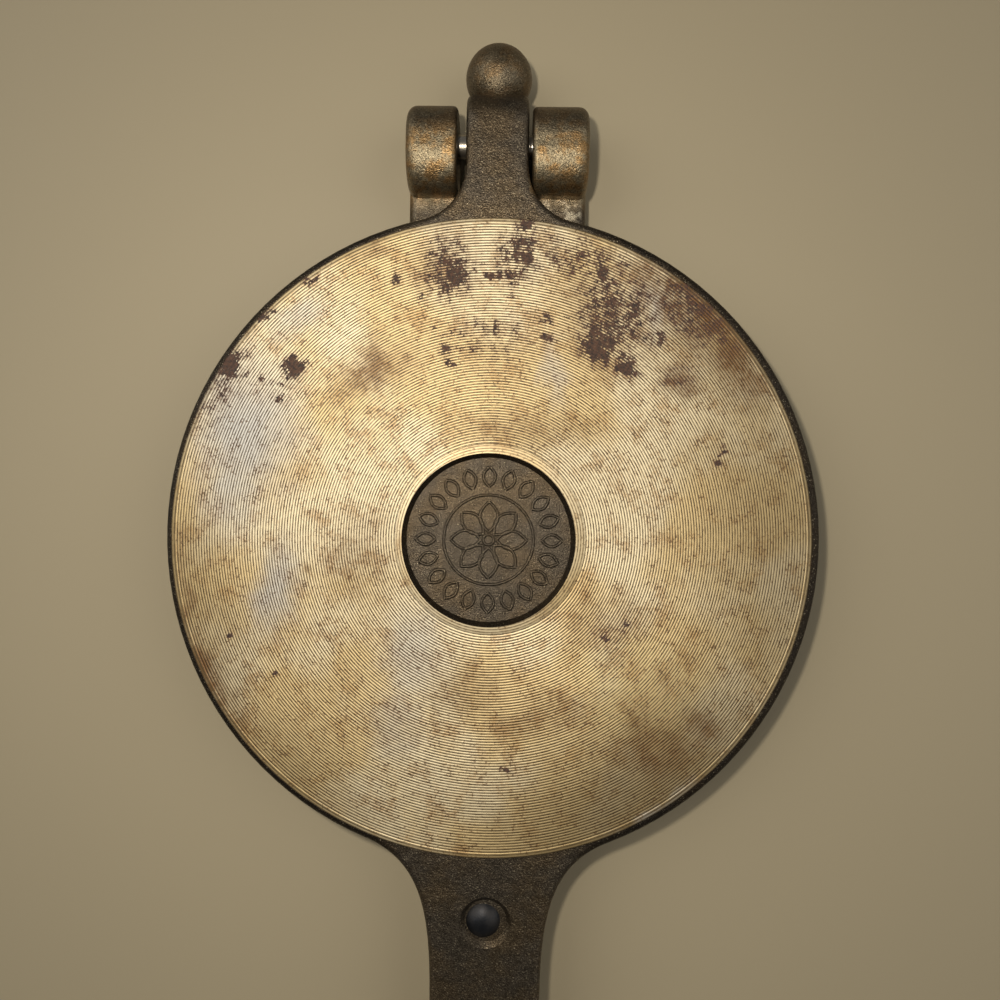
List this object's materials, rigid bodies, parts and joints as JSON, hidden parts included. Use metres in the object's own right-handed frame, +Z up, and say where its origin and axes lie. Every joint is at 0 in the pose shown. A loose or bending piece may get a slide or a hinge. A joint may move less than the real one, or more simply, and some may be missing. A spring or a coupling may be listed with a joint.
{
  "type": "krumkake iron",
  "caption": "Round cast-iron krumkake iron: hinged engraved baking plates with turned backs, a ball nose at the hinge and riveted wood-gripped handles.",
  "frame": {"origin": "centre of the round plates, in the plane of the lower plate's turned back face", "axes": "+Z up from the lower plate to the upper plate; +Y from the plates' centre to the hinge and ball nose; the handles point toward -Y"},
  "size_m": [0.1642, 0.3997, 0.02],
  "materials": {
    "cast_iron": "raw sand casting, turned bright on the back faces",
    "bright_steel": "bright drawn steel",
    "dark_steel": "mill-finished dark steel",
    "rivet_steel": "hammered, blackened steel",
    "beech": "oiled, darkened beech",
    "brass": "filed flush and tarnished"
  },
  "bodies": {
    "lower_half": {"lower_plate": "cast_iron", "hinge_pin": "bright_steel", "lower_handle_bar": "dark_steel", "lower_neck_rivet_front": "rivet_steel", "lower_neck_rivet_rear": "rivet_steel", "lower_grip": "beech", "lower_grip_pin_front": "brass", "lower_grip_pin_rear": "brass"},
    "upper_half": {"upper_plate": "cast_iron", "upper_handle_bar": "dark_steel", "upper_neck_rivet_front": "rivet_steel", "upper_neck_rivet_rear": "rivet_steel", "upper_grip": "beech", "upper_grip_pin_front": "brass", "upper_grip_pin_rear": "brass"}
  },
  "joints": [
    {"name": "plate_hinge", "type": "hinge", "parent": "lower_half", "child": "upper_half", "pos_m": [0, 0.1014, 0.01], "axis": [-1, 0, 0], "range_deg": [0, 130]}
  ]
}
